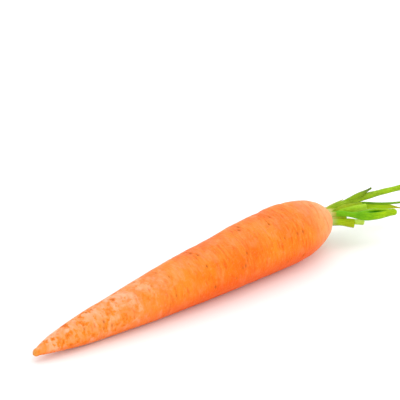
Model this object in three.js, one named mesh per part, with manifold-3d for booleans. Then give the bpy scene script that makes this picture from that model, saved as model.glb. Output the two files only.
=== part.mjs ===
// A carrot lying on its side: one taproot and the cut leaf stalks on its crown.
// Millimetres, +Z up. The root runs along X with its tip at -X and its crown at +X.

import * as THREE from 'three';
import { LoftGeometry } from 'three/addons/geometries/LoftGeometry.js';
import { mergeVertices } from 'three/addons/utils/BufferGeometryUtils.js';
import Module from 'manifold-3d';

// ---- Root ----
const ROOT_LENGTH = 211;          // tip to the rim of the crown
const ROOT_DIAMETER = 37.5;         // widest girth, just before the shoulder
const SHOULDER_LENGTH = 36.5;     // rounded part from the widest girth to the rim
const TAPER_FULLNESS = 1.3;       // above 1 the cone bulges towards the crown
const TIP_BLUNTNESS = 0.56;       // 0.5 is a round end, 1 is a sharp cone
const TIP_KNOB_DIAMETER = 4.4;    // the tip ends in a small rounded knob
const TIP_KNOB_ROUNDING = 2.2;    // its end is rounded over this length
const TIP_DROOP = 0.9;            // the end of the tip sinks by this much
const TIP_DROOP_LENGTH = 14;      // from this far along the root
const ROOT_FLATTENING = 0.97;     // height of a section over its width
const REST_FLAT_DEPTH = 0.35;     // how much the underside is flattened
const REST_START = 70;            // the underside lies flat from here
const REST_END = 180;             // to here, measured from the tip
const SIDE_BOW = 2.4;             // bend of the axis towards -Y at mid length
const LOBE_DEPTH = 0.18;          // shallow lengthwise lobes
const CREASE_WIDTH = 2.6;         // half width of a growth crease
const CREASES = [
  { fromCrown: 29, depth: 0.45, side: 110 },
  { fromCrown: 47, depth: 0.32, side: 60 },
  { fromCrown: 74, depth: 0.28, side: 150 },
];

// ---- Crown seat, where the stalks stand ----
const SEAT_DEPTH = 0.8;           // the seat lies this far inside the rim
const SEAT_RIM = 0.6;             // width of the sloping rim around the seat
const SEAT_CLEARANCE = 0.9;       // space between the outer stalks and the rim
const SEAT_CROWNING = 0.08;       // the middle of the seat is this much higher

// ---- Leaf stalks ----
// Widths run around the crown and thicknesses run outwards from its middle.
const STALK_GAP = 0.4;            // least space between two feet, and under them
const HEART_DIAMETER = 1.7;
const INNER_FOOT_WIDTH = 2.5;
const INNER_FOOT_THICKNESS = 1.5;
const OUTER_FOOT_WIDTH = 3.6;
const OUTER_FOOT_THICKNESS = 1.9;
const BROAD_FOOT_WIDTH = 5.0;     // foot of the broad low stub
const SHEATH_FOOT_WIDTH = 2.8;
const SHEATH_FOOT_THICKNESS = 1.2;
const OUTER_RING_START = 358;     // where the first stalk of each ring stands,
const INNER_RING_START = 34;      // in degrees from straight up towards -Y
const TURN_LENGTH = 5;            // a stalk turns to its own heading over this length
const SWELL_LENGTH = 15;          // and grows from its foot to full size over this
const OUTER_SHARE = 0.62;         // how much of the thickness is on the outer side

// ---- Mesh fineness ----
const ROOT_STATIONS = 64;
const ROOT_SIDES = 44;
const STALK_SIDES = 20;
const STATION_SPACING = 3.2;

const degrees = THREE.MathUtils.degToRad;
const lerp = THREE.MathUtils.lerp;
const smooth = THREE.MathUtils.smoothstep;

// ---- The stalks ----
// Each ring lists its stalks in order around the crown, from its start towards -Y.
// Lengths are in millimetres. Yaw turns a stalk towards -Y and pitch turns it up, each
// given at the start of the stalk and at its end, with one between them where it sways.
const INNER_FOOT = { footWidth: INNER_FOOT_WIDTH, footThickness: INNER_FOOT_THICKNESS };
const OUTER_FOOT = { footWidth: OUTER_FOOT_WIDTH, footThickness: OUTER_FOOT_THICKNESS };

const OUTER_STALKS = [
  {
    ...OUTER_FOOT, name: 'petiole_forked', colour: 0x8aa614,
    length: 64, yaw: [0, 14], pitch: [-2, 1], bendFrom: 0.3,
    width: 5.2, thickness: 4.6, endSize: 0.75, slant: 0.3,
  },
  {
    ...OUTER_FOOT, name: 'petiole_channelled', colour: 0x74b512,
                length: 42, yaw: [34, 44, 24], pitch: [10, -7, 0], bendTo: 0.66,
    width: 6.8, thickness: 4.4, endSize: 0.65, thinFrom: 0.65,
    swellFrom: 13, swellTo: 26, slit: 0.45, roundEnd: true,
  },
  {
    ...OUTER_FOOT, footWidth: BROAD_FOOT_WIDTH,
    name: 'petiole_low_stub', colour: 0x96a80a,
    length: 17, yaw: [25, 26], pitch: [-7, -15],
    width: 6.4, thickness: 3.8, endSize: 0.95, slant: -0.15,
  },
  {
    ...OUTER_FOOT, name: 'petiole_under', colour: 0x93a31a,
    length: 12, yaw: [4, 4], pitch: [-12, -14],
    width: 3.2, thickness: 2.2, slant: -0.2,
  },
  {
    ...OUTER_FOOT, name: 'petiole_far_low', colour: 0x93a31a,
    length: 16, yaw: [-15, -18], pitch: [-16, -20],
    width: 3.2, thickness: 2.4, slant: -0.2,
  },
  {
    ...OUTER_FOOT, name: 'petiole_far_side', colour: 0x7fa21c,
    length: 20, yaw: [-24, -28], pitch: [-6, -12],
    width: 3.6, thickness: 2.6, slant: 0.2,
  },
  {
    footWidth: SHEATH_FOOT_WIDTH, footThickness: SHEATH_FOOT_THICKNESS,
    name: 'leaf_sheath', colour: 0xd3c478,
    length: 21, yaw: [-4, -3], pitch: [7, 4],
    width: 3.0, thickness: 1.3, endSize: 0.3, thinFrom: 0.4, groove: 0.1,
  },
];

const INNER_STALKS = [
  {
    ...INNER_FOOT, name: 'petiole_broad_cut', colour: 0x8cb422,
    length: 28, yaw: [19, 18], pitch: [5.5, 0],
    width: 4.4, thickness: 4.0, endSize: 0.95, groove: 0.2, slant: 0.1,
  },
  {
    ...INNER_FOOT, name: 'petiole_low_pale', colour: 0xb6d065,
    length: 27, yaw: [18, 19], pitch: [-14, -14],
    width: 3.8, thickness: 3.2, endSize: 0.95, slant: 0.1,
  },
  {
    ...INNER_FOOT, name: 'petiole_dry_tip', colour: 0xa3a61c,
    length: 58, yaw: [4, 46], pitch: [-1, -7], bendFrom: 0.42,
    width: 4.2, thickness: 3.2, endSize: 0.2, thinFrom: 0.8,
  },
  {
    ...INNER_FOOT, name: 'petiole_thin', colour: 0x5f9a14,
    length: 57, yaw: [-2, 46, 26], pitch: [0.8, -0.2, 0], bendFrom: 0.3,
    width: 2.4, thickness: 1.8, endSize: 0.7,
  },
];

const HEART_SHOOT = {
  name: 'heart_shoot', colour: 0xc0d06a,
  length: 11, yaw: [0, 0], pitch: [0, 0],
  footWidth: HEART_DIAMETER, footThickness: HEART_DIAMETER,
  width: HEART_DIAMETER, thickness: HEART_DIAMETER,
  endSize: 0.4, thinFrom: 0.4, groove: 0,
};

// The short side branch that forks off the first stalk.
const FORK_AT = 14;               // distance along the stalk to the branch
const FORK_RISE = 0.7;            // the branch starts this far above the stalk's middle
const SIDE_BRANCH = {
  length: 27, yaw: [2, 0], pitch: [5, 10],
  footWidth: 2.8, footThickness: 2.4, width: 3.6, thickness: 3.2,
  endSize: 0.4, thinFrom: 0.45, slant: 0.6,
};

// What a stalk is when its entry above doesn't say.
const PLAIN_STALK = {
  groove: 0.28,                   // depth of the inner groove, as a share of thickness
  grooveWidth: 0.5,               // its half width, as a share of half the width
  slit: 0,                        // depth of a slit on the outer side, as a share
  slitAt: 0.4,                    // where it lies across the stalk
  slitWidth: 0.22,                // its half width, as a share of half the width
  slitFrom: 0.5,                  // where it opens along the stalk
  slitTo: 0.95,                   // and where it closes
  swellFrom: 0,                   // it grows to full size from here along its length
  swellTo: SWELL_LENGTH,          // to here
  bendFrom: 0,                    // the bend starts at this share of the length
  bendTo: 1,                      // and ends at this one
  thinFrom: 0,                    // the stalk thins from this share of the length
  slant: 0,                       // slope of the cut end across the stalk
  endSize: 0.9,                   // size at the end, as a share of full size
  roundEnd: false,
};

// ---- Rings of feet ----
// A ring is wide enough for the feet inside it and for its own feet side by side.
function ringRadius(stalks, insideRadius) {
  const thickest = Math.max(...stalks.map((stalk) => stalk.footThickness));
  const stacked = insideRadius + STALK_GAP + thickest * (1 - OUTER_SHARE);
  const around = stalks.reduce((sum, stalk) => sum + stalk.footWidth + STALK_GAP, 0);
  return Math.max(stacked, around / (2 * Math.PI));
}

function outerEdge(stalks, radius) {
  const edges = stalks.map((stalk) => Math.max(
    radius + stalk.footThickness * OUTER_SHARE,
    Math.hypot(radius, stalk.footWidth / 2),
  ));
  return Math.max(...edges);
}

// The feet share out the room that is left on their ring as equal gaps.
function standAround(stalks, ring, startAngle) {
  const halves = stalks.map((stalk) => Math.atan(stalk.footWidth / 2 / ring));
  const filled = 2 * halves.reduce((sum, half) => sum + half, 0);
  const gap = (2 * Math.PI - filled) / stalks.length;
  let around = THREE.MathUtils.degToRad(startAngle) - halves[0];
  return stalks.map((stalk, i) => {
    const placed = { ...PLAIN_STALK, ...stalk, ring, around: around + halves[i] };
    around += 2 * halves[i] + gap;
    return placed;
  });
}

const innerRing = ringRadius(INNER_STALKS, HEART_DIAMETER / 2);
const outerRing = ringRadius(OUTER_STALKS, outerEdge(INNER_STALKS, innerRing));
const seatRadius = outerEdge(OUTER_STALKS, outerRing) + SEAT_CLEARANCE;
const rimRadius = seatRadius + SEAT_RIM;

const stalks = [
  ...standAround(OUTER_STALKS, outerRing, OUTER_RING_START),
  ...standAround(INNER_STALKS, innerRing, INNER_RING_START),
  { ...PLAIN_STALK, ...HEART_SHOOT, ring: 0, around: 0 },
];

// ---- Shape of the root ----
const taperLength = ROOT_LENGTH - SHOULDER_LENGTH;
const shoulderAxis = SHOULDER_LENGTH
  / Math.sqrt(1 - (2 * rimRadius / ROOT_DIAMETER) ** 2);

function rootRadius(fromTip) {
  if (fromTip < taperLength) {
    const share = Math.max(fromTip, 0) / taperLength;
    const bulge = 1 - (1 - share) ** TAPER_FULLNESS;
    return ROOT_DIAMETER / 2 * bulge ** TIP_BLUNTNESS;
  }
  const along = Math.min((fromTip - taperLength) / shoulderAxis, 1);
  return ROOT_DIAMETER / 2 * Math.sqrt(1 - along * along);
}

function knobRadius(fromTip) {
  const inset = Math.max(1 - fromTip / TIP_KNOB_ROUNDING, 0);
  const leastShare = 0.28;
  return TIP_KNOB_DIAMETER / 2 * Math.max(Math.sqrt(1 - inset * inset), leastShare);
}

// The axis is raised so that the underside is level between REST_START and REST_END.
// The tip keeps the slope the axis has at REST_START, so it hangs clear of the ground.
function axisHeight(fromTip) {
  const settled = Math.min(Math.max(fromTip, REST_START), REST_END);
  const level = rootRadius(settled) * ROOT_FLATTENING - REST_FLAT_DEPTH;
  if (fromTip >= REST_START) {
    return level;
  }
  const step = 1;
  const slope = (rootRadius(REST_START + step) - rootRadius(REST_START)) / step;
  const droop = TIP_DROOP * Math.max(1 - fromTip / TIP_DROOP_LENGTH, 0) ** 2;
  return level - (REST_START - fromTip) * slope * ROOT_FLATTENING - droop;
}

function axisSide(fromTip) {
  const share = fromTip / ROOT_LENGTH;
  return -SIDE_BOW * Math.sin(Math.PI * share);
}

function creaseDepth(fromTip, angle) {
  let depth = 0;
  for (const crease of CREASES) {
    const offset = (fromTip - (ROOT_LENGTH - crease.fromCrown)) / CREASE_WIDTH;
    const facing = 0.5 + 0.5 * Math.cos(angle - degrees(crease.side));
    depth += crease.depth * Math.exp(-offset * offset) * facing;
  }
  return depth;
}

function rootSection(fromTip, radius) {
  const points = [];
  const fullness = Math.min(1, radius / (ROOT_DIAMETER / 2));
  for (let i = 0; i < ROOT_SIDES; i++) {
    const angle = i / ROOT_SIDES * Math.PI * 2;
    const lobe = LOBE_DEPTH * Math.sin(3 * angle + fromTip / 40);
    const grown = radius + fullness * (lobe - creaseDepth(fromTip, angle));
    const y = axisSide(fromTip) + grown * Math.cos(angle);
    const z = axisHeight(fromTip) + grown * Math.sin(angle) * ROOT_FLATTENING;
    points.push(new THREE.Vector3(fromTip, y, Math.max(z, 0)));
  }
  return points;
}

function seatSection(fromTip, radius) {
  const points = [];
  for (let i = 0; i < ROOT_SIDES; i++) {
    const angle = i / ROOT_SIDES * Math.PI * 2;
    const y = axisSide(ROOT_LENGTH) + radius * Math.cos(angle);
    const z = axisHeight(ROOT_LENGTH) + radius * Math.sin(angle);
    points.push(new THREE.Vector3(fromTip, y, z));
  }
  return points;
}

// Stations crowd towards the tip and the crown, where the radius changes fastest.
function makeRoot() {
  const sections = [];
  for (let i = 0; i <= ROOT_STATIONS; i++) {
    const share = (1 - Math.cos(i / ROOT_STATIONS * Math.PI)) / 2;
    const eased = lerp(i / ROOT_STATIONS, share, 0.85);
    const fromTip = eased * ROOT_LENGTH;
    const radius = Math.max(rootRadius(fromTip), knobRadius(fromTip));
    sections.push(rootSection(fromTip, radius));
  }
  const seat = ROOT_LENGTH - SEAT_DEPTH;
  sections.push(seatSection(seat, seatRadius));
  sections.push(seatSection(seat + SEAT_CROWNING, seatRadius / 2));
  return new LoftGeometry(sections, { capStart: true, capEnd: true });
}

// ---- Shape of a leaf stalk ----
// A stalk leaves the seat straight along +X. It then turns to its first heading, and
// bends through the others. Yaw is positive towards -Y and pitch is positive upwards.
function passThrough(values, share) {
  const spot = share * (values.length - 1);
  const index = Math.min(Math.floor(spot), values.length - 2);
  return lerp(values[index], values[index + 1], smooth(spot - index, 0, 1));
}

function headingAt(stalk, share, travelled) {
  const risen = smooth(travelled, 0, TURN_LENGTH);
  const bent = (share - stalk.bendFrom) / (stalk.bendTo - stalk.bendFrom);
  const along = THREE.MathUtils.clamp(bent, 0, 1);
  const yaw = degrees(passThrough(stalk.yaw, along)) * risen;
  const pitch = degrees(passThrough(stalk.pitch, along)) * risen;
  return new THREE.Vector3(
    Math.cos(pitch) * Math.cos(yaw),
    -Math.cos(pitch) * Math.sin(yaw),
    Math.sin(pitch),
  );
}

const seatCentre = new THREE.Vector3(
  ROOT_LENGTH - SEAT_DEPTH + STALK_GAP,
  axisSide(ROOT_LENGTH),
  axisHeight(ROOT_LENGTH),
);

function outwardAt(stalk) {
  return new THREE.Vector3(0, -Math.sin(stalk.around), Math.cos(stalk.around));
}

function stalkPath(stalk) {
  const steps = Math.max(5, Math.round(stalk.length / STATION_SPACING));
  const step = stalk.length / steps;
  const start = stalk.start ?? outwardAt(stalk).multiplyScalar(stalk.ring).add(seatCentre);
  const path = [{ point: start.clone(), heading: headingAt(stalk, 0, 0), travelled: 0 }];
  for (let i = 1; i <= steps; i++) {
    const middle = headingAt(stalk, (i - 0.5) / steps, (i - 0.5) * step);
    const point = path[i - 1].point.clone().addScaledVector(middle, step);
    const heading = headingAt(stalk, i / steps, i * step);
    path.push({ point, heading, travelled: i * step });
  }
  return path;
}

// One ring of the stalk: round on its outer side, with a groove on its inner side.
function stalkSection(stalk, place, width, thickness, slant) {
  const share = place.travelled / stalk.length;
  const opening = smooth(share, stalk.slitFrom, (stalk.slitFrom + stalk.slitTo) / 2)
    * (1 - smooth(share, (stalk.slitFrom + stalk.slitTo) / 2, stalk.slitTo));
  const outward = outwardAt(stalk);
  outward.addScaledVector(place.heading, -outward.dot(place.heading)).normalize();
  const sideways = new THREE.Vector3().crossVectors(outward, place.heading);
  const points = [];
  for (let i = 0; i < STALK_SIDES; i++) {
    const angle = i / STALK_SIDES * Math.PI * 2;
    const across = Math.cos(angle);
    const outer = angle < Math.PI;
    let out = thickness * (outer ? OUTER_SHARE : 1 - OUTER_SHARE) * Math.sin(angle);
    if (outer) {
      const nearSlit = (across - stalk.slitAt) / stalk.slitWidth;
      out -= thickness * stalk.slit * opening * Math.exp(-nearSlit * nearSlit);
    } else {
      const nearGroove = across / stalk.grooveWidth;
      out += thickness * stalk.groove * Math.exp(-nearGroove * nearGroove);
    }
    points.push(place.point.clone()
      .addScaledVector(sideways, width / 2 * across)
      .addScaledVector(outward, out)
      .addScaledVector(place.heading, slant * across * width / 2));
  }
  return points;
}

function makeStalk(stalk) {
  const path = stalkPath(stalk);
  const sections = [];
  for (const place of path) {
    const share = place.travelled / stalk.length;
    const grown = smooth(place.travelled, stalk.swellFrom, stalk.swellTo);
    const thinned = lerp(1, stalk.endSize, smooth(share, stalk.thinFrom, 1));
    const width = lerp(stalk.footWidth, stalk.width, grown) * thinned;
    const thickness = lerp(stalk.footThickness, stalk.thickness, grown) * thinned;
    const slant = share === 1 ? stalk.slant : 0;
    sections.push(stalkSection(stalk, place, width, thickness, slant));
  }
  if (stalk.roundEnd) {
    const last = path[path.length - 1];
    for (const turn of [30, 60, 80]) {
      const size = Math.cos(degrees(turn)) * stalk.endSize;
      const ahead = Math.sin(degrees(turn)) * stalk.thickness / 2;
      const point = last.point.clone().addScaledVector(last.heading, ahead);
      const width = stalk.width * size;
      sections.push(stalkSection(stalk, { ...last, point }, width, stalk.thickness * size, 0));
    }
  }
  return new LoftGeometry(sections, { capStart: true, capEnd: true });
}

// ---- Joining a side branch to its stalk ----
const wasm = await Module();
wasm.setup();

function toSolid(geometry) {
  const bare = new THREE.BufferGeometry();
  bare.setAttribute('position', geometry.attributes.position);
  bare.setIndex(geometry.index);
  const merged = mergeVertices(bare, 1e-4);
  return new wasm.Manifold(new wasm.Mesh({
    numProp: 3,
    vertProperties: new Float32Array(merged.attributes.position.array),
    triVerts: new Uint32Array(merged.index.array),
  }));
}

function fromSolid(solid) {
  const mesh = solid.getMesh();
  const geometry = new THREE.BufferGeometry();
  geometry.setAttribute('position', new THREE.BufferAttribute(mesh.vertProperties, 3));
  geometry.setIndex(new THREE.BufferAttribute(mesh.triVerts, 1));
  geometry.computeVertexNormals();
  return geometry;
}

function addSideBranch(geometry, stalk) {
  const fork = stalkPath(stalk).find((place) => place.travelled >= FORK_AT);
  const start = fork.point.clone().addScaledVector(outwardAt(stalk), FORK_RISE);
  const branch = { ...PLAIN_STALK, ...SIDE_BRANCH, start, around: stalk.around };
  return fromSolid(toSolid(geometry).add(toSolid(makeStalk(branch))));
}

// ---- The assembled carrot ----
const carrot = new THREE.Group();

function addPiece(name, geometry, colour, roughness) {
  const material = new THREE.MeshStandardMaterial({ color: colour, roughness, metalness: 0 });
  const mesh = new THREE.Mesh(geometry, material);
  mesh.name = name;
  carrot.add(mesh);
}

addPiece('taproot', makeRoot(), 0xf57c2e, 0.5);

for (const stalk of stalks) {
  const plain = makeStalk(stalk);
  const geometry = stalk.name === 'petiole_forked' ? addSideBranch(plain, stalk) : plain;
  addPiece(stalk.name, geometry, stalk.colour, 0.45);
}

// The part's origin is on the ground, under the middle of the whole carrot.
const extent = new THREE.Box3().setFromObject(carrot, true);
const middle = extent.getCenter(new THREE.Vector3());
carrot.position.set(-middle.x, -middle.y, -extent.min.z);

const group = new THREE.Group();
group.add(carrot);

export default group;
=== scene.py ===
"""A carrot lying on its side, with its leaf stalks cut short, on a pale studio floor."""

import math

import bpy
import numpy as np
from mathutils import Matrix, Vector


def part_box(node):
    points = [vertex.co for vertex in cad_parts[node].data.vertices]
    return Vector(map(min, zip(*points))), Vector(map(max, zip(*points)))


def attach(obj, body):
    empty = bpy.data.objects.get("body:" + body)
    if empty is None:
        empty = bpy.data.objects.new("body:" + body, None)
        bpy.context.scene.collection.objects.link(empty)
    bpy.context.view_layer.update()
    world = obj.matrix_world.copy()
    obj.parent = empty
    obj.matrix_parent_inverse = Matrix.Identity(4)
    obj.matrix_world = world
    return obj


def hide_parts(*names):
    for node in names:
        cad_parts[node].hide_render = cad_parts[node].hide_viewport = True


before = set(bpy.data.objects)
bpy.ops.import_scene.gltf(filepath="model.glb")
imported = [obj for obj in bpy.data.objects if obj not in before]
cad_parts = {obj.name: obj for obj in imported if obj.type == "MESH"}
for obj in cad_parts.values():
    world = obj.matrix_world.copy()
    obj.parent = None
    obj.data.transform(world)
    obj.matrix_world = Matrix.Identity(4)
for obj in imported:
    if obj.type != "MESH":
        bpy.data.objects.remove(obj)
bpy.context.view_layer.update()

MM = 0.001
TAU = 2 * math.pi

# ---- Sizes of the root and the stalks, in millimetres, as in the CAD model ----
ROOT_LENGTH = 211.0
ROOT_DIAMETER = 37.5
SHOULDER_LENGTH = 36.5
TAPER_FULLNESS = 1.3
TIP_BLUNTNESS = 0.56
TIP_KNOB_DIAMETER = 4.4
TIP_KNOB_ROUNDING = 2.2
TIP_KNOB_END = 0.28                   # share of the knob's width at the very end
TIP_DROOP, TIP_DROOP_LENGTH = 0.9, 14.0
ROOT_FLATTENING = 0.97
REST_FLAT_DEPTH = 0.35
REST_START, REST_END = 70.0, 180.0
SIDE_BOW = 2.4
LOBE_DEPTH = 0.18
LOBES, LOBE_TWIST = 3, 40             # around the root, and millimetres for a radian of twist
CREASE_WIDTH = 2.6
CREASES = [(29, 0.45, 110), (47, 0.32, 60), (74, 0.28, 150)]  # from the crown, depth, side

SEAT_DEPTH = 0.8
SEAT_RIM = 0.6
SEAT_CLEARANCE = 0.9
STALK_GAP = 0.4
HEART_DIAMETER = 1.7
TURN_LENGTH = 5.0
SWELL_LENGTH = 15.0
OUTER_SHARE = 0.62
OUTER_RING_START, INNER_RING_START = 358.0, 34.0

OUTER_FOOT = {"foot_width": 3.6, "foot_thickness": 1.9}
INNER_FOOT = {"foot_width": 2.5, "foot_thickness": 1.5}

SLIT_DEPTH = 0.45                      # of the channelled stalk, as a share of its thickness

PLAIN_STALK = {
    "groove": 0.28, "slit": 0.0, "swell_from": 0.0, "swell_to": SWELL_LENGTH,
    "bend_from": 0.0, "bend_to": 1.0, "thin_from": 0.0, "slant": 0.0, "end_size": 0.9,
    "round_end": False,
}

OUTER_STALKS = [
    {**OUTER_FOOT, "name": "petiole_forked", "length": 64, "yaw": (0, 14), "pitch": (-2, 1),
     "bend_from": 0.3, "width": 5.2, "thickness": 4.6, "end_size": 0.75, "slant": 0.3},
    {**OUTER_FOOT, "name": "petiole_channelled", "length": 42, "yaw": (34, 44, 24),
     "pitch": (10, -7, 0), "bend_to": 0.66, "width": 6.8, "thickness": 4.4,
     "end_size": 0.65, "thin_from": 0.65, "swell_from": 13, "swell_to": 26,
     "slit": SLIT_DEPTH, "round_end": True},
    {**OUTER_FOOT, "foot_width": 5.0, "name": "petiole_low_stub", "length": 17,
     "yaw": (25, 26), "pitch": (-7, -15), "width": 6.4, "thickness": 3.8,
     "end_size": 0.95, "slant": -0.15},
    {**OUTER_FOOT, "name": "petiole_under", "length": 12, "yaw": (4, 4),
     "pitch": (-12, -14), "width": 3.2, "thickness": 2.2, "slant": -0.2},
    {**OUTER_FOOT, "name": "petiole_far_low", "length": 16, "yaw": (-15, -18),
     "pitch": (-16, -20), "width": 3.2, "thickness": 2.4, "slant": -0.2},
    {**OUTER_FOOT, "name": "petiole_far_side", "length": 20, "yaw": (-24, -28),
     "pitch": (-6, -12), "width": 3.6, "thickness": 2.6, "slant": 0.2},
    {"foot_width": 2.8, "foot_thickness": 1.2, "name": "leaf_sheath", "length": 21,
     "yaw": (-4, -3), "pitch": (7, 4), "width": 3.0, "thickness": 1.3, "end_size": 0.3,
     "thin_from": 0.4, "groove": 0.1, "round_end": True},
]

INNER_STALKS = [
    {**INNER_FOOT, "name": "petiole_broad_cut", "length": 28, "yaw": (19, 18),
     "pitch": (5.5, 0), "width": 4.4, "thickness": 4.0, "end_size": 0.95, "groove": 0.2,
     "slant": 0.1},
    {**INNER_FOOT, "name": "petiole_low_pale", "length": 27, "yaw": (18, 19),
     "pitch": (-14, -14), "width": 3.8, "thickness": 3.2, "end_size": 0.95, "slant": 0.1},
    {**INNER_FOOT, "name": "petiole_dry_tip", "length": 58, "yaw": (4, 46),
     "pitch": (-1, -7), "bend_from": 0.42, "width": 4.2, "thickness": 3.2,
     "end_size": 0.2, "thin_from": 0.8},
    {**INNER_FOOT, "name": "petiole_thin", "length": 57, "yaw": (-2, 46, 26),
     "pitch": (0.8, -0.2, 0), "bend_from": 0.3, "width": 2.4, "thickness": 1.8, "end_size": 0.7},
]

HEART_SHOOT = {
    "name": "heart_shoot", "length": 11, "yaw": (0, 0), "pitch": (0, 0),
    "foot_width": HEART_DIAMETER, "foot_thickness": HEART_DIAMETER,
    "width": HEART_DIAMETER, "thickness": HEART_DIAMETER, "end_size": 0.4,
    "thin_from": 0.4, "groove": 0.0,
}

FORK_AT = 14.0
FORK_RISE = 0.7
SIDE_BRANCH = {
    "name": "side_branch", "length": 27, "yaw": (2, 0), "pitch": (5, 10),
    "foot_width": 2.8, "foot_thickness": 2.4, "width": 3.6, "thickness": 3.2,
    "end_size": 0.4, "thin_from": 0.45, "slant": 0.6,
}

# Pieces that only the visual model has: broad leaf blades that start between two stalks, and old
# leaf bases around the seat.
LEAF_BLADES = [
    {"between": ("petiole_forked", "petiole_broad_cut"), "yaw": (11, 16), "pitch": (3.6, 1),
     "length": 27, "width": 5.0},
    {"between": ("petiole_channelled", "petiole_low_stub"), "yaw": (27, 30), "pitch": (1, -4),
     "length": 12, "width": 4.6},
    {"between": ("petiole_channelled", "petiole_channelled"), "yaw": (32, 37), "pitch": (5, 1),
     "length": 10.5, "width": 5.6},
]
BLADE_SHAPE = {
    "foot_width": 3.4, "foot_thickness": 2.2, "thickness": 3.0, "end_size": 0.5,
    "thin_from": 0.5,
}
LEAF_BASES = 15
INNER_BASE_EVERY = 3                   # every third base stands on the inner ring
LEAF_BASE_SHAPE = {"foot_thickness": 0.9, "thickness": 0.7, "end_size": 0.3, "thin_from": 0.25}

# Seeds of the random draws.
ROOT_SEED, LEAF_BASE_DRAWS = 11, 77
FIRST_STALK_SEED, SIDE_BRANCH_SEED, FIRST_LEAF_BASE_SEED, FIRST_BLADE_SEED = 1, 31, 50, 90


# ---- Small maths ----
def smooth(x, low, high):
    t = np.clip((x - low) / (high - low), 0.0, 1.0)
    return t * t * (3 - 2 * t)


def lerp(a, b, t):
    return a + (b - a) * t


def waves(points, size, seed, count=26):
    """A smooth random field over the points, about -1 to 1, with bumps about size wide."""
    rng = np.random.default_rng(seed)
    directions = rng.normal(size=(count, 3))
    directions /= np.linalg.norm(directions, axis=1)[:, None]
    lengths = TAU / (size * rng.uniform(0.8, 2.2, count))
    phases = rng.uniform(0, TAU, count)
    total = np.zeros(points.shape[:-1])
    for direction, length, phase in zip(directions, lengths, phases):
        total += np.cos(points @ (direction * length) + phase)
    return total / math.sqrt(count / 2) / 2


def unevenness(points, layers):
    """The sum of random fields, each given as its height, size and seed."""
    return sum(height * waves(points, size, seed) for height, size, seed in layers)


# ---- Where the feet of the stalks stand, worked out as in the CAD model ----
def ring_radius(stalks, inside):
    """The smallest ring that the feet stand on, clear of what is inside and of each other."""
    thickest = max(s["foot_thickness"] for s in stalks)
    around = sum(s["foot_width"] + STALK_GAP for s in stalks)
    return max(inside + STALK_GAP + thickest * (1 - OUTER_SHARE), around / TAU)


def outer_edge(stalks, radius):
    return max(
        max(radius + s["foot_thickness"] * OUTER_SHARE,
            math.hypot(radius, s["foot_width"] / 2))
        for s in stalks
    )


def stand_around(stalks, ring, start):
    """Spaces the feet evenly around the ring, in their order, from start in degrees."""
    halves = [math.atan(s["foot_width"] / 2 / ring) for s in stalks]
    gap = (TAU - 2 * sum(halves)) / len(stalks)
    around = math.radians(start) - halves[0]
    placed = []
    for stalk, half in zip(stalks, halves):
        placed.append({**PLAIN_STALK, **stalk, "ring": ring, "around": around + half})
        around += 2 * half + gap
    return placed


inner_ring = ring_radius(INNER_STALKS, HEART_DIAMETER / 2)
outer_ring = ring_radius(OUTER_STALKS, outer_edge(INNER_STALKS, inner_ring))
seat_radius = outer_edge(OUTER_STALKS, outer_ring) + SEAT_CLEARANCE
rim_radius = seat_radius + SEAT_RIM

STALKS = [
    *stand_around(OUTER_STALKS, outer_ring, OUTER_RING_START),
    *stand_around(INNER_STALKS, inner_ring, INNER_RING_START),
    {**PLAIN_STALK, **HEART_SHOOT, "ring": 0.0, "around": 0.0},
]

# ---- The root's shape ----
taper_length = ROOT_LENGTH - SHOULDER_LENGTH
shoulder_axis = SHOULDER_LENGTH / math.sqrt(1 - (2 * rim_radius / ROOT_DIAMETER) ** 2)


def root_radius(from_tip):
    from_tip = np.asarray(from_tip, float)
    share = np.clip(from_tip / taper_length, 0, 1)
    taper = (1 - (1 - share) ** TAPER_FULLNESS) ** TIP_BLUNTNESS
    along = np.clip((from_tip - taper_length) / shoulder_axis, 0, 1)
    shoulder = np.sqrt(1 - along * along)
    return ROOT_DIAMETER / 2 * np.where(from_tip < taper_length, taper, shoulder)


def knob_radius(from_tip):
    inset = np.maximum(1 - np.asarray(from_tip, float) / TIP_KNOB_ROUNDING, 0)
    return TIP_KNOB_DIAMETER / 2 * np.maximum(np.sqrt(1 - inset * inset), TIP_KNOB_END)


def axis_height(from_tip):
    from_tip = np.asarray(from_tip, float)
    settled = np.clip(from_tip, REST_START, REST_END)
    level = root_radius(settled) * ROOT_FLATTENING - REST_FLAT_DEPTH
    slope = float(root_radius(REST_START + 1) - root_radius(REST_START))
    droop = TIP_DROOP * np.maximum(1 - from_tip / TIP_DROOP_LENGTH, 0) ** 2
    return level - np.maximum(REST_START - from_tip, 0) * slope * ROOT_FLATTENING - droop


def axis_side(from_tip):
    return -SIDE_BOW * np.sin(math.pi * np.asarray(from_tip, float) / ROOT_LENGTH)


# The part's own origin, measured from the tip's end and the crown's middle.
root_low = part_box("taproot")[0]
heart_low, heart_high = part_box("heart_shoot")
ORIGIN = np.array([root_low.x / MM, (heart_low.y + heart_high.y) / 2 / MM, 0.0])


# ---- Making meshes ----
def make_object(name, points, faces, attributes, material):
    """A smooth-shaded mesh from points in millimetres, measured from the tip's end."""
    mesh = bpy.data.meshes.new(name)
    mesh.from_pydata(((points + ORIGIN) * MM).tolist(), [], faces)
    for key, values in attributes.items():
        mesh.attributes.new(key, "FLOAT", "POINT").data.foreach_set(
            "value", np.asarray(values, np.float32)
        )
    mesh.polygons.foreach_set("use_smooth", [True] * len(mesh.polygons))
    mesh.materials.append(material)
    mesh.update()
    made = bpy.data.objects.new(name, mesh)
    bpy.context.scene.collection.objects.link(made)
    return made


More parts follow.
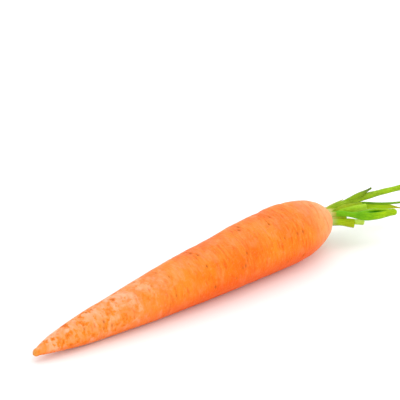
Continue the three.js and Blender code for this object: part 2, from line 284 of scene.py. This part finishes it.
def skin_rings(rings):
    """Points and faces of closed rings joined one to the next and closed by a point at each end."""
    count, sides = len(rings), len(rings[0])
    points = np.concatenate([*rings, [rings[0].mean(0)], [rings[-1].mean(0)]])
    first, last = count * sides, count * sides + 1
    faces = []
    for i in range(count - 1):
        a, b = i * sides, (i + 1) * sides
        for j in range(sides):
            k = (j + 1) % sides
            faces.append((a + j, a + k, b + k, b + j))
    end = (count - 1) * sides
    for j in range(sides):
        k = (j + 1) % sides
        faces.append((first, k, j))
        faces.append((last, end + j, end + k))
    return points, faces


# ---- The root's skin ----
ROOT_STATIONS = 540
ROOT_SIDES = 170
STATION_EASING = 0.45                  # draws the stations together at both ends
SEAT_RINGS = 26
# Random fields on the skin and on the seat, each with its height, size and seed.
SKIN_SWELLS = [(0.42, 34, 3), (0.16, 11, 4), (0.05, 4.2, 5)]
SEAT_ROUGHNESS = [(0.22, 1.5, 9), (0.1, 0.7, 10)]
SEAT_DIMPLE = 0.12
REST_EDGE = 0.5                        # the skin starts to flatten this far above the floor
FURROWS, SCARRED_SHARE = 270, 0.3
PITS = 34
WRINKLES = 54
FULL_FURROW = 0.22                     # a furrow this deep has its full colour
SCAR_DEPTH = 0.22
SCAR_LENGTH, SCAR_WIDTH = 0.55, 0.8    # half sizes, along the root and around it


def make_root(material):
    rng = np.random.default_rng(ROOT_SEED)
    step = np.arange(ROOT_STATIONS + 1) / ROOT_STATIONS
    eased = lerp(step, (1 - np.cos(step * math.pi)) / 2, STATION_EASING)
    from_tip = (eased * ROOT_LENGTH)[:, None]
    angle = (np.arange(ROOT_SIDES) / ROOT_SIDES * TAU)[None, :]
    radius = np.maximum(root_radius(from_tip), knob_radius(from_tip))
    fullness = np.minimum(1, radius / (ROOT_DIAMETER / 2))

    # Points on a plain root, which the random fields are read at.
    on_skin = np.stack([
        from_tip + 0 * angle, radius * np.cos(angle), radius * np.sin(angle)
    ], axis=-1)

    lobes = LOBE_DEPTH * np.sin(LOBES * angle + from_tip / LOBE_TWIST)
    swell = unevenness(on_skin, SKIN_SWELLS)
    creases = 0 * swell
    for from_crown, depth, side in CREASES:
        offset = (from_tip - (ROOT_LENGTH - from_crown)) / CREASE_WIDTH
        facing = 0.5 + 0.5 * np.cos(angle - math.radians(side))
        creases += depth * np.exp(-offset * offset) * facing

    furrow = np.zeros_like(swell)
    lips = np.zeros_like(swell)
    scar = np.zeros_like(swell)

    def press(at, side, reach, width, depth, slant, bow, mark):
        """Presses one furrow, which runs around the root for reach either way from side."""
        rows = np.where(np.abs(from_tip[:, 0] - at) < 4 * width + abs(bow) + 3)[0]
        if len(rows) == 0:
            return
        rows = slice(rows[0], rows[-1] + 1)
        turn = (angle - side + math.pi) % TAU - math.pi
        around = turn * radius[rows]
        middle = at + slant * around + bow * (around / reach) ** 2
        off = (from_tip[rows] - middle) / width
        fade = np.clip(1 - (around / reach) ** 2, 0, 1) ** 1.5
        furrow[rows] = np.maximum(furrow[rows], depth * np.exp(-off * off) * fade)
        lips[rows] += 0.3 * depth * np.exp(-((np.abs(off) - 1.9) ** 2)) * fade
        if mark:
            spot = np.hypot((from_tip[rows] - at) / SCAR_LENGTH, around / SCAR_WIDTH)
            scar[rows] = np.maximum(scar[rows], mark * np.exp(-spot ** 2.4))

    # Short furrows, some with a rootlet's scar.
    for _ in range(FURROWS):
        at = 5 + 204 * rng.uniform() ** 0.85
        girth = float(root_radius(at))
        reach = rng.uniform(1.0, 3.6) * min(1, 0.35 + girth / 16)
        depth = rng.uniform(0.08, 0.24) * min(1, 0.4 + girth / 18)
        press(at, rng.uniform(0, TAU), reach, rng.uniform(0.26, 0.45), depth,
              rng.uniform(-0.12, 0.12), rng.uniform(-0.3, 0.3),
              rng.uniform(0.4, 1.0) if rng.uniform() < SCARRED_SHARE else 0)
    # A few deeper pits where side roots came away, mostly near the crown.
    for _ in range(PITS):
        at = ROOT_LENGTH - 9 - 100 * rng.uniform() ** 1.2
        press(at, rng.uniform(0, TAU), rng.uniform(1.4, 2.8), rng.uniform(0.45, 0.7),
              rng.uniform(0.25, 0.45), rng.uniform(-0.2, 0.2), 0.0, rng.uniform(0.8, 1.6))
    # Long wrinkles that wrap part of the way round, more of them near the crown.
    for _ in range(WRINKLES):
        at = ROOT_LENGTH - 8 - 130 * rng.uniform() ** 1.3
        press(at, rng.uniform(0, TAU), rng.uniform(3.5, 13), rng.uniform(0.5, 1.1),
              rng.uniform(0.06, 0.2), rng.uniform(-0.16, 0.16), rng.uniform(-1.8, 1.8), 0)

    grown = radius + fullness * (lobes + swell - creases)
    grown += np.minimum(1, radius / 3) * (lips - furrow - SCAR_DEPTH * scar)
    y = axis_side(from_tip) + grown * np.cos(angle)
    z = axis_height(from_tip) + grown * np.sin(angle) * ROOT_FLATTENING
    # The underside rests flat, with a rounded edge to the flat.
    low = REST_EDGE - z
    z = np.where(z < REST_EDGE, REST_EDGE - low / (1 + np.abs(low) / REST_EDGE), z)
    rings = list(np.stack([from_tip + 0 * y, y, z], axis=-1))

    # The seat: over the rim and in to the middle, on rough tissue.
    rim = rings[-1]
    middle = np.array([ROOT_LENGTH, float(axis_side(ROOT_LENGTH)),
                       float(axis_height(ROOT_LENGTH))])
    for i in range(1, SEAT_RINGS):
        share = i / SEAT_RINGS
        ring = middle + (rim - middle) * (1 - share)
        distance = rim_radius * share
        sunk = SEAT_DEPTH * smooth(distance, 0.05, 0.9)
        sunk += SEAT_DIMPLE * math.sin(min(distance, 0.5) * math.pi)
        ring[:, 0] = ROOT_LENGTH - sunk
        ring[:, 0] += unevenness(ring, SEAT_ROUGHNESS) * smooth(distance, 0.4, 1.2)
        rings.append(ring)

    points, faces = skin_rings(rings)
    extra = (SEAT_RINGS - 1) * ROOT_SIDES

    def whole(values, seat_value):
        """Values for every point: the skin, the seat's rings and the two end points."""
        return np.concatenate([
            values.ravel(), np.full(extra, seat_value), [values[0, 0], seat_value]
        ])

    attributes = {
        "furrow": whole(np.clip(furrow / FULL_FURROW, 0, 1), 0.0),
        "scar": whole(scar, 0.0),
        "seat": whole(smooth(from_tip + 0 * angle, ROOT_LENGTH - 0.6, ROOT_LENGTH), 1.0),
        "from_tip": whole(from_tip / ROOT_LENGTH + 0 * angle, 1.0),
        "lower": whole(0.5 - 0.5 * np.sin(angle) + 0 * from_tip, 0.5),
    }
    return make_object("carrot_root", points, faces, attributes, material)


# ---- The leaf stalks ----
STALK_SIDES = 56
STATION_SPACING = 0.55
ROOTED_DEPTH = 1.6                    # a stalk starts this far inside the root
CUT_LENGTH = 4.0                      # the slant of a cut end builds up over this
TORN_LENGTH = 0.9                     # and its ragged edge over this
TORN_DEPTH = 0.14
GROOVE_WIDTH = 0.5                    # widths across a stalk are shares of its half width
SLIT_AT, SLIT_WIDTH = 0.4, 0.22
SLIT_FROM, SLIT_TO = 0.5, 0.95
RIBS, RIB_HEIGHT = 13, 0.028
DRIFTS = [(0.04, 5.3, 1), (0.03, 2.1, 2)]       # share of the width, length, and step of phase
ROUND_END_TURNS = (10, 20, 30, 40, 50, 60, 68, 75, 81, 86)      # degrees over the end
ROUND_END_STRETCH = 1.5
# Rings of a cut face: how far out, and how deep in thirds of the thickness.
CUT_FACE = [(0.96, -0.03), (0.86, 0.05), (0.7, 0.16), (0.5, 0.24), (0.3, 0.28), (0.12, 0.3)]

seat_centre = np.array([
    ROOT_LENGTH - SEAT_DEPTH + STALK_GAP,
    float(axis_side(ROOT_LENGTH)), float(axis_height(ROOT_LENGTH)),
])


def pass_through(values, share):
    """The value at a share of the way through a list, eased from each to the next."""
    spot = share * (len(values) - 1)
    index = min(int(spot), len(values) - 2)
    return lerp(values[index], values[index + 1], float(smooth(spot - index, 0, 1)))


def heading_at(stalk, share, travelled):
    """The direction of growth, which starts along the root and turns to the stalk's own."""
    risen = float(smooth(travelled, 0, TURN_LENGTH))
    bent = (share - stalk["bend_from"]) / (stalk["bend_to"] - stalk["bend_from"])
    bent = min(max(bent, 0.0), 1.0)
    yaw = math.radians(pass_through(stalk["yaw"], bent)) * risen
    pitch = math.radians(pass_through(stalk["pitch"], bent)) * risen
    return np.array([
        math.cos(pitch) * math.cos(yaw), -math.cos(pitch) * math.sin(yaw), math.sin(pitch)
    ])


def outward_at(stalk):
    return np.array([0.0, -math.sin(stalk["around"]), math.cos(stalk["around"])])


def stalk_path(stalk):
    """Points, headings and distances along the stalk's middle, from its foot."""
    steps = round(stalk["length"] / STATION_SPACING)
    step = stalk["length"] / steps
    start = stalk.get("start")
    if start is None:
        start = seat_centre + outward_at(stalk) * stalk["ring"]
    path = [(start, heading_at(stalk, 0, 0), 0.0)]
    for i in range(1, steps + 1):
        middle = heading_at(stalk, (i - 0.5) / steps, (i - 0.5) * step)
        path.append((path[-1][0] + middle * step, heading_at(stalk, i / steps, i * step),
                     i * step))
    return path


def stalk_rings(stalk, seed):
    """Rings of one stalk with its ribs, groove, slit and end, and what its paint reads there."""
    rng = np.random.default_rng(seed)
    angle = np.arange(STALK_SIDES) / STALK_SIDES * TAU
    across = np.cos(angle)
    outer = angle < math.pi
    length = stalk["length"]
    outward = outward_at(stalk)
    rib_phase = rng.uniform(-0.4, 0.4)
    torn = rng.normal(0, TORN_DEPTH, STALK_SIDES)
    torn = (torn + np.roll(torn, 1) + np.roll(torn, -1)) / 2
    rings, notes = [], []

    def ring(point, heading, travelled, width, thickness, slant, inset=1.0, lengthwise=0.0):
        share = travelled / length
        half = (SLIT_FROM + SLIT_TO) / 2
        opening = float(smooth(share, SLIT_FROM, half) * (1 - smooth(share, half, SLIT_TO)))
        out = outward - heading * outward.dot(heading)
        out /= np.linalg.norm(out)
        side = np.cross(out, heading)
        away = thickness * np.where(outer, OUTER_SHARE, 1 - OUTER_SHARE) * np.sin(angle)
        near_slit = (across - SLIT_AT) / SLIT_WIDTH
        opened = opening * np.exp(-near_slit * near_slit) * stalk["slit"]
        slit = thickness * opened
        near_groove = across / GROOVE_WIDTH
        groove = thickness * stalk["groove"] * np.exp(-near_groove * near_groove)
        away += np.where(outer, -slit, groove)
        ribs = RIB_HEIGHT * thickness * np.cos(RIBS * angle + rib_phase)
        ribs *= float(smooth(travelled, 0.5, 6)) * (np.abs(np.sin(angle)) ** 0.5)
        away = away + ribs * np.where(outer, 1, -1) * inset
        drift = 1 + sum(part * math.sin(travelled / size + phase * seed)
                        for part, size, phase in DRIFTS)
        points = (
            point
            + side * (width / 2 * across * drift * inset)[:, None]
            + out * (away * drift * inset)[:, None]
            + heading * (slant * across * width / 2 * inset + torn * lengthwise)[:, None]
        )
        rings.append(points)
        facing = side * (across / width)[:, None] + out * (np.sin(angle) / thickness)[:, None]
        facing /= np.linalg.norm(facing, axis=1)[:, None]
        notes.append({
            "along": travelled / length,
            "travelled": travelled,
            "inside": np.where(outer, 0.0, 1.0),
            "around": 0.5 - 0.5 * np.cos(angle),
            "cut": 1.0 - inset,
            "under": 0.5 - 0.5 * facing[:, 2],
            "slit": np.where(outer, opened / SLIT_DEPTH, 0.0),
        })

    path = stalk_path(stalk)
    if "start" not in stalk:
        for back in (ROOTED_DEPTH, ROOTED_DEPTH / 2):
            ring(path[0][0] - path[0][1] * back, path[0][1], 0.0,
                 stalk["foot_width"], stalk["foot_thickness"], 0.0)
    for point, heading, travelled in path:
        share = travelled / length
        grown = float(smooth(travelled, stalk["swell_from"], stalk["swell_to"]))
        thinned = lerp(1, stalk["end_size"], float(smooth(share, stalk["thin_from"], 1)))
        width = lerp(stalk["foot_width"], stalk["width"], grown) * thinned
        thickness = lerp(stalk["foot_thickness"], stalk["thickness"], grown) * thinned
        cutting = float(smooth(travelled, length - CUT_LENGTH, length))
        plain_end = 0.0 if stalk["round_end"] else 1.0
        ring(point, heading, travelled, width, thickness, stalk["slant"] * cutting, 1.0,
             plain_end * float(smooth(travelled, length - TORN_LENGTH, length)))
    point, heading, travelled = path[-1]
    if stalk["round_end"]:
        for turn in ROUND_END_TURNS:
            turned = math.radians(turn)
            beyond = math.sin(turned) * thickness / 2 * ROUND_END_STRETCH
            ring(point + heading * beyond, heading, travelled,
                 width * math.cos(turned), thickness * math.cos(turned), 0.0)
    else:
        # The cut face: a crisp edge, then a slightly sunken pith.
        for inset, sunk in CUT_FACE:
            ring(point - heading * sunk * thickness / 3, heading, travelled, width,
                 thickness, stalk["slant"], inset, inset)
    return rings, notes


def make_stalk(stalk, seed, material):
    rings, notes = stalk_rings(stalk, seed)
    points, faces = skin_rings(rings)
    attributes = {}
    for key in notes[0]:
        values = [np.broadcast_to(note[key], STALK_SIDES) for note in notes]
        ends = [values[0].mean(), values[-1].mean()]
        attributes[key] = np.concatenate([*values, ends])
    return make_object("stalk_" + stalk["name"], points, faces, attributes, material)


# ---- Materials ----
def srgb(red, green, blue):
    """A linear colour from 0 to 255 values."""
    out = []
    for value in (red, green, blue):
        v = value / 255
        out.append(v / 12.92 if v <= 0.04045 else ((v + 0.055) / 1.055) ** 2.4)
    return (*out, 1.0)


class Paint:
    """Builds one Principled material a node at a time."""

    def __init__(self, name):
        self.material = bpy.data.materials.new(name)
        self.material.use_nodes = True
        self.tree = self.material.node_tree
        self.shader = self.tree.nodes["Principled BSDF"]
        self.place = self.add("ShaderNodeTexCoord").outputs["Object"]
        self.colour = None

    def add(self, kind, **settings):
        made = self.tree.nodes.new(kind)
        for key, value in settings.items():
            setattr(made, key, value)
        return made

    def put(self, socket, value):
        if isinstance(value, bpy.types.NodeSocket):
            self.tree.links.new(value, socket)
        else:
            socket.default_value = value

    def attribute(self, name):
        return self.add("ShaderNodeAttribute", attribute_name=name).outputs["Fac"]

    def times(self, a, b):
        made = self.add("ShaderNodeMath", operation="MULTIPLY")
        self.put(made.inputs[0], a)
        self.put(made.inputs[1], b)
        return made.outputs[0]

    def squeezed(self, along):
        """The place on the object, with its length multiplied, so a noise runs around it."""
        made = self.add("ShaderNodeVectorMath", operation="MULTIPLY")
        self.put(made.inputs[0], self.place)
        made.inputs[1].default_value = (along, 1.0, 1.0)
        return made.outputs[0]

    def vector(self, x, y, z):
        made = self.add("ShaderNodeCombineXYZ")
        for socket, value in zip(made.inputs, (x, y, z)):
            self.put(socket, value)
        return made.outputs[0]

    def noise(self, place, scale, detail, roughness=0.55, distortion=0.0):
        made = self.add("ShaderNodeTexNoise")
        self.put(made.inputs["Vector"], place)
        made.inputs["Scale"].default_value = scale
        made.inputs["Detail"].default_value = detail
        made.inputs["Roughness"].default_value = roughness
        made.inputs["Distortion"].default_value = distortion
        return made.outputs["Fac"]

    def between(self, value, low, high, to_low=0.0, to_high=1.0):
        made = self.add("ShaderNodeMapRange", interpolation_type="SMOOTHSTEP")
        for socket, number in zip(made.inputs[:5], (value, low, high, to_low, to_high)):
            self.put(socket, number)
        return made.outputs[0]

    def mix(self, factor, a, b):
        made = self.add("ShaderNodeMix", data_type="RGBA")
        self.put(made.inputs["Factor"], factor)
        self.put(made.inputs[6], a)
        self.put(made.inputs[7], b)
        return made.outputs[2]

    def over(self, factor, colour):
        """Lays a colour over what is painted so far, by the factor."""
        self.colour = self.mix(factor, self.colour, colour)

    def bump(self, height, strength, distance, normal=None):
        made = self.add("ShaderNodeBump")
        made.inputs["Strength"].default_value = strength
        made.inputs["Distance"].default_value = distance
        self.put(made.inputs["Height"], height)
        if normal is not None:
            self.put(made.inputs["Normal"], normal)
        return made.outputs[0]

    def finish(self, roughness, normal=None, **uniform):
        self.put(self.shader.inputs["Base Color"], self.colour)
        self.put(self.shader.inputs["Roughness"], roughness)
        if normal is not None:
            self.put(self.shader.inputs["Normal"], normal)
        for key, value in uniform.items():
            self.shader.inputs[key.replace("_", " ")].default_value = value
        return self.material


SPECULAR = 0.12
SKIN = {
    name: srgb(*colour) for name, colour in {
        "orange": (240, 106, 4), "light_orange": (246, 132, 20),
        "pale_band": (250, 150, 62), "dark_band": (226, 80, 0),
        "painted_lower_shade": (232, 80, 0), "painted_lower_edge_shade": (234, 100, 14), "shoulder": (252, 178, 130),
        "rubbed": (246, 142, 52), "rubbed_pale": (248, 160, 96),
        "haze": (252, 192, 152), "painted_upper_sheen": (246, 196, 170),
        "scuff": (240, 130, 16), "deep_scuff": (220, 98, 2), "speck": (228, 116, 26),
        "grain": (255, 190, 140), "furrow": (214, 90, 16), "scar": (172, 96, 30),
        "tip_end": (222, 150, 62), "tissue": (150, 150, 66), "dark_tissue": (104, 98, 36),
    }.items()
}


def root_material():
    p = Paint("carrot_skin")
    from_tip, lower = p.attribute("from_tip"), p.attribute("lower")
    tipward = p.between(from_tip, 0.56, 0.08)

    def towards_tip(at_crown, at_tip):
        return p.between(tipward, 0, 1, at_crown, at_tip)

    broad = p.noise(p.squeezed(1.8), 30, 4)
    clouds = p.noise(p.squeezed(1.5), 120, 4, 0.6, 0.5)
    scuffs = p.noise(p.squeezed(1.4), 205, 4, 0.62, 0.15)
    spots = p.noise(p.place, 330, 3)
    fine = p.noise(p.place, 900, 3, 0.6)
    streaks = p.noise(p.squeezed(4.5), 150, 4, 0.6, 0.3)

    # Deep orange skin, with paler and darker bands around it.
    p.colour = p.mix(p.between(broad, 0.34, 0.66), SKIN["orange"], SKIN["light_orange"])
    p.over(p.between(streaks, 0.5, 0.72, 0.0, 0.45), SKIN["pale_band"])
    p.over(p.between(streaks, 0.47, 0.32, 0.0, 0.6), SKIN["dark_band"])
    # Painted shade deepens the lower side; a painted highlight pales the shoulder by the leaves.
    p.over(p.between(lower, 0.35, 0.8, 0.0, 0.95), SKIN["painted_lower_shade"])
    # Painted highlight: the shoulder by the leaves is painted paler and pinker, as if lit from the
    # side.
    p.over(p.between(from_tip, 0.84, 0.985, 0.0, 0.6), SKIN["shoulder"])
    # Dry, rubbed skin is pale and cloudy, most of all towards the tip; on top lies a patchy painted
    # sheen.
    rubbed = p.mix(p.between(clouds, 0.3, 0.6), SKIN["rubbed"], SKIN["rubbed_pale"])
    p.over(towards_tip(0.0, 0.9), rubbed)
    p.over(p.times(p.between(clouds, 0.5, 0.66), towards_tip(0.1, 0.52)), SKIN["haze"])
    # Painted sheen: a pale pinkish highlight along the upper side, patchy with the clouds, most
    # towards the tip.
    sheen_on_top = p.times(p.between(lower, 0.2, 0.0), towards_tip(0.1, 0.42))
    p.over(p.times(sheen_on_top, p.between(clouds, 0.35, 0.6, 0.3, 1.0)), SKIN["painted_upper_sheen"])
    # Scuffs go through the pale skin to the deep orange under it.
    p.over(p.times(p.between(scuffs, 0.5, 0.57), towards_tip(0.1, 0.9)), SKIN["scuff"])
    p.over(p.times(p.between(scuffs, 0.58, 0.65), towards_tip(0.1, 0.85)), SKIN["deep_scuff"])
    p.over(p.times(p.between(spots, 0.56, 0.66), towards_tip(0.3, 0.6)), SKIN["speck"])
    p.over(p.between(fine, 0.5, 0.75, 0.0, 0.12), SKIN["grain"])
    # Painted shade: the furrows are painted a deeper orange by their depth, most towards the tip.
    p.over(p.times(p.attribute("furrow"), towards_tip(0.5, 0.85)), SKIN["furrow"])
    p.over(p.times(p.attribute("scar"), 0.55), SKIN["scar"])
    # Painted shade: a deeper orange laid again over the lower half, over the pale layers.
    p.over(p.times(p.between(lower, 0.45, 0.85), 0.5), SKIN["painted_lower_edge_shade"])
    p.over(p.times(p.between(from_tip, 0.02, 0.0), 0.7), SKIN["tip_end"])
    tissue = p.mix(p.between(fine, 0.4, 0.6), SKIN["tissue"], SKIN["dark_tissue"])
    p.over(p.attribute("seat"), tissue)

    normal = p.bump(p.noise(p.squeezed(5.0), 230, 4, 0.6, 0.3), 0.55, 0.0008)
    normal = p.bump(p.noise(p.place, 1500, 3, 0.6), 0.3, 0.0003, normal)
    return p.finish(p.between(clouds, 0.3, 0.7, 0.4, 0.56), normal, Subsurface_Weight=0.1,
                    Subsurface_Radius=(0.9, 0.35, 0.12), Subsurface_Scale=0.004,
                    Specular_IOR_Level=SPECULAR)


# Each stalk's colours: near its base, along its body, towards its end, dark fibres and painted
# shade.
PALE_BASE = (196, 196, 90)
OLIVE = (PALE_BASE, (140, 168, 6), (150, 158, 8), (116, 118, 0))
LOOKS = {
    "petiole_forked": ((170, 168, 24), (134, 168, 2), (158, 196, 24), (98, 124, 0)),
    "petiole_channelled": ((150, 172, 8), (112, 180, 0), (170, 200, 0), (60, 132, 0)),
    "petiole_low_stub": ((180, 200, 120), (160, 200, 0), (164, 184, 0), (142, 150, 0)),
    "petiole_under": OLIVE,
    "petiole_far_low": OLIVE,
    "petiole_far_side": (PALE_BASE, (126, 168, 6), (142, 180, 12), (88, 120, 0)),
    "leaf_sheath": ((200, 180, 90), (196, 194, 84), (190, 188, 80), (160, 150, 50)),
    "petiole_broad_cut": ((168, 172, 30), (150, 194, 18), (166, 206, 48), (112, 154, 0)),
    "petiole_low_pale": (PALE_BASE, (180, 212, 60), (196, 222, 94), (150, 184, 36)),
    "petiole_dry_tip": (PALE_BASE, (156, 196, 0), (170, 136, 0), (134, 164, 0)),
    "petiole_thin": (PALE_BASE, (100, 156, 0), (108, 164, 0), (62, 106, 0)),
    "heart_shoot": (PALE_BASE, (184, 202, 74), (166, 188, 54), (146, 158, 34)),
    "side_branch": ((134, 168, 2), (128, 162, 2), (66, 90, 0), (92, 118, 0)),
    "leaf_bases": ((206, 190, 120), (146, 168, 8), (136, 166, 2), (104, 122, 0)),
}
END_COLOUR_FROM = {"petiole_dry_tip": 0.8, "side_branch": 0.5}
PLAIN_END_COLOUR_FROM = 0.45
BASE_COLOUR_LENGTH = 7.0
# The slit's dark green is painted shade inside the channel.
LIGHT_FIBRE, SLIT_SHADE = srgb(200, 222, 40), srgb(22, 124, 0)
PITH, DARK_PITH = srgb(206, 218, 140), srgb(168, 190, 92)


def stalk_material(name):
    p = Paint("skin_of_" + name)
    base, body, end, dark_fibres_and_shade = (srgb(*colour) for colour in LOOKS[name])
    travelled, inside = p.attribute("travelled"), p.attribute("inside")
    fibre_place = p.vector(p.times(p.attribute("around"), 9.0), p.times(travelled, 0.09), inside)
    fibres = p.noise(fibre_place, 3.2, 4, 0.6)
    blotches = p.noise(p.place, 210, 3)
    end_from = END_COLOUR_FROM.get(name, PLAIN_END_COLOUR_FROM)
    p.colour = p.mix(p.between(p.attribute("along"), end_from, 1.0), body, end)
    p.over(p.between(blotches, 0.4, 0.7, 0.0, 0.35), dark_fibres_and_shade)
    lighter = p.mix(0.35, body, LIGHT_FIBRE)
    p.over(p.between(fibres, 0.52, 0.68, 0.0, 0.6), lighter)
    p.over(p.between(fibres, 0.48, 0.34, 0.0, 0.7), dark_fibres_and_shade)
    # Painted shade: the side of each stalk that faces down is darkened with the dark colour.
    p.over(p.between(p.attribute("under"), 0.45, 1.0, 0.0, 0.5), dark_fibres_and_shade)
    p.over(p.between(travelled, BASE_COLOUR_LENGTH, 0.4), base)
    p.over(p.times(inside, 0.15), lighter)
    # Painted shade: the channelled stalk's slit is painted dark green.
    p.over(p.attribute("slit"), SLIT_SHADE)
    pith = p.noise(p.place, 1100, 2, 0.5)
    p.over(p.between(p.attribute("cut"), 0.02, 0.1),
           p.mix(p.between(pith, 0.4, 0.65), PITH, DARK_PITH))
    normal = p.bump(fibres, 0.35, 0.0004)
    normal = p.bump(p.noise(p.place, 1800, 2, 0.5), 0.12, 0.0002, normal)
    return p.finish(p.between(blotches, 0.3, 0.7, 0.34, 0.5), normal, Subsurface_Weight=0.1,
                    Subsurface_Radius=(0.35, 0.6, 0.1), Subsurface_Scale=0.002,
                    Specular_IOR_Level=SPECULAR)


# ---- Putting the carrot together ----
def stalk_named(name):
    return next(stalk for stalk in STALKS if stalk["name"] == name)


def side_branch(forked):
    """The short branch, which leaves the forked stalk's outer side."""
    fork = next(point for point, _, travelled in stalk_path(forked) if travelled >= FORK_AT)
    return {**PLAIN_STALK, **SIDE_BRANCH, "around": forked["around"],
            "start": fork + outward_at(forked) * FORK_RISE}


def leaf_blade(number):
    """A blade that starts halfway between the feet of two stalks."""
    blade = LEAF_BLADES[number]
    ends = [stalk_named(name) for name in blade["between"]]
    return {**PLAIN_STALK, **BLADE_SHAPE, **blade, "name": f"leaf_blade_{number}",
            "around": ends[1]["around"],
            "start": sum(stalk_path(stalk)[0][0] for stalk in ends) / 2}


def leaf_base(number, rng):
    """A short, thin base on the inner ring, or round the outside of the outer ring."""
    around = number / LEAF_BASES * TAU + rng.uniform(-0.12, 0.12)
    inner = number % INNER_BASE_EVERY == 0
    length = rng.uniform(10, 15) if inner else rng.uniform(3.5, 8)
    ring = inner_ring + 1.4 if inner else outer_ring + rng.uniform(0.9, 1.3)
    return {**PLAIN_STALK, **LEAF_BASE_SHAPE, "name": f"leaf_base_{number}", "length": length,
            "yaw": (math.cos(around) * 6, math.cos(around) * 14),
            "pitch": (math.sin(around) * 6, math.sin(around) * 13),
            "foot_width": rng.uniform(2.6, 3.6), "width": rng.uniform(2.8, 4.0),
            "slant": rng.uniform(-0.5, 0.5), "around": around, "ring": ring}


root = make_root(root_material())
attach(root, "root")
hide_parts("taproot")

for number, stalk in enumerate(STALKS):
    name = stalk["name"]
    piece = make_stalk(stalk, FIRST_STALK_SEED + number, stalk_material(name))
    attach(piece, "root")
    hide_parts(name)
    if name == "petiole_forked":
        side = make_stalk(side_branch(stalk), SIDE_BRANCH_SEED, stalk_material("side_branch"))
        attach(side, "root")

leaf_paint = stalk_material("leaf_bases")
for number in range(len(LEAF_BLADES)):
    piece = make_stalk(leaf_blade(number), FIRST_BLADE_SEED + number, leaf_paint)
    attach(piece, "root")
leaf_base_draws = np.random.default_rng(LEAF_BASE_DRAWS)
for number in range(LEAF_BASES):
    piece = make_stalk(leaf_base(number, leaf_base_draws), FIRST_LEAF_BASE_SEED + number,
                       leaf_paint)
    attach(piece, "root")

# ---- Floor, light and camera ----
FLOOR_REACH = 4.0
FLOOR_WHITE = (0.95, 0.95, 0.95, 1.0)
FLOOR_ROUGHNESS = 0.85
WORLD_WHITE = (1.0, 1.0, 1.0, 1.0)
WORLD_STRENGTH = 0.76

floor_mesh = bpy.data.meshes.new("floor")
floor_mesh.from_pydata(
    [(x * FLOOR_REACH, y * FLOOR_REACH, 0) for x, y in ((-1, -1), (1, -1), (1, 1), (-1, 1))],
    [], [(0, 1, 2, 3)],
)
floor = bpy.data.objects.new("floor", floor_mesh)
bpy.context.scene.collection.objects.link(floor)
floor_paint = Paint("floor_paint")
floor_paint.colour = FLOOR_WHITE
floor_mesh.materials.append(floor_paint.finish(FLOOR_ROUGHNESS, Specular_IOR_Level=0.1))

world = bpy.data.worlds.new("studio")
bpy.context.scene.world = world
world.use_nodes = True
world.node_tree.nodes["Background"].inputs["Color"].default_value = WORLD_WHITE
world.node_tree.nodes["Background"].inputs["Strength"].default_value = WORLD_STRENGTH


def add_light(name, place, aim, size, power):
    """A round soft light at a place in metres, turned to its aim, with its power in watts."""
    data = bpy.data.lights.new(name, "AREA")
    data.shape, data.size, data.energy = "DISK", size, power
    light = bpy.data.objects.new(name, data)
    light.location = place
    light.rotation_mode = "QUATERNION"
    light.rotation_quaternion = (Vector(aim) - Vector(place)).to_track_quat("-Z", "Y")
    bpy.context.scene.collection.objects.link(light)


add_light("key", (0.35, 0.3, 1.1), (0, 0, 0), 1.9, 9.0)
add_light("fill", (-0.6, -0.9, 0.42), (0, 0, 0), 1.5, 5.0)
add_light("crown_side", (1.0, -0.4, 0.5), (0.05, 0, 0.02), 0.6, 3.5)

# The camera stands at the root's side, towards its tip, and looks slightly down.
AZIMUTH, ELEVATION = math.radians(-39.95), math.radians(25)
DISTANCE = 750.0
AIM_FROM_TIP, AIM_HEIGHT = 106.5, 10.0
RIGHTWARD, UPWARD = 4.82, 46.24        # moves the camera without turning it
LENS, SENSOR_WIDTH = 119.8, 36.0
CLIP_START, CLIP_END = 0.01, 20.0

back = Vector((math.sin(AZIMUTH) * math.cos(ELEVATION),
               -math.cos(AZIMUTH) * math.cos(ELEVATION), math.sin(ELEVATION)))
right = Vector((math.cos(AZIMUTH), math.sin(AZIMUTH), 0))
up = back.cross(right)
aim = Vector(ORIGIN + np.array([AIM_FROM_TIP, 0.0, AIM_HEIGHT]))
camera_data = bpy.data.cameras.new("camera")
camera_data.lens, camera_data.sensor_width = LENS, SENSOR_WIDTH
camera_data.clip_start, camera_data.clip_end = CLIP_START, CLIP_END
camera = bpy.data.objects.new("camera", camera_data)
camera.matrix_world = Matrix.Translation(
    (aim + back * DISTANCE + right * RIGHTWARD + up * UPWARD) * MM
) @ Matrix((right, up, back)).transposed().to_4x4()
bpy.context.scene.collection.objects.link(camera)
bpy.context.scene.camera = camera
bpy.context.scene.view_settings.view_transform = "Standard"
